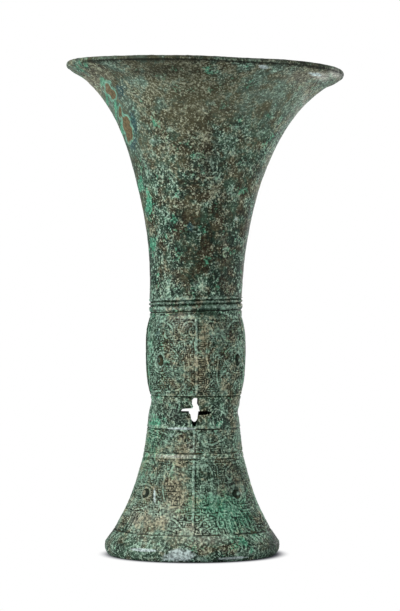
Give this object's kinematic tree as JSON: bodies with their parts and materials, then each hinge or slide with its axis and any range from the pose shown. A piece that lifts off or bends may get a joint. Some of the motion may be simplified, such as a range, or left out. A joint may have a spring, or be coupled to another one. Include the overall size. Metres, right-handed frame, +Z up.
{
  "type": "bronze gu vessel",
  "caption": "Tall bronze beaker with a trumpet mouth, a swollen waist with low mask relief, and a flared hollow foot pierced by crosses.",
  "frame": {"origin": "centre of the foot's standing ring, on the surface that the vessel stands on", "axes": "+Z up along the foot's axis, -Y towards the viewer of the picture, +X to the viewer's right, the way the neck leans"},
  "size_m": [0.1589, 0.159, 0.2819],
  "materials": {
    "green_patina": "bronze under a mottled green, brown and grey patina, matte to dull satin",
    "inner_patina": "bronze under a dark brown-green patina with earth, matte",
    "chaplet_bronze": "bronze plug, brown, matte"
  },
  "bodies": {
    "root": {"foot": "green_patina", "beaker_floor": "inner_patina", "floor_chaplets": "chaplet_bronze", "waist": "green_patina", "trumpet_neck": "green_patina", "neck_chaplets": "chaplet_bronze"}
  },
  "joints": []
}
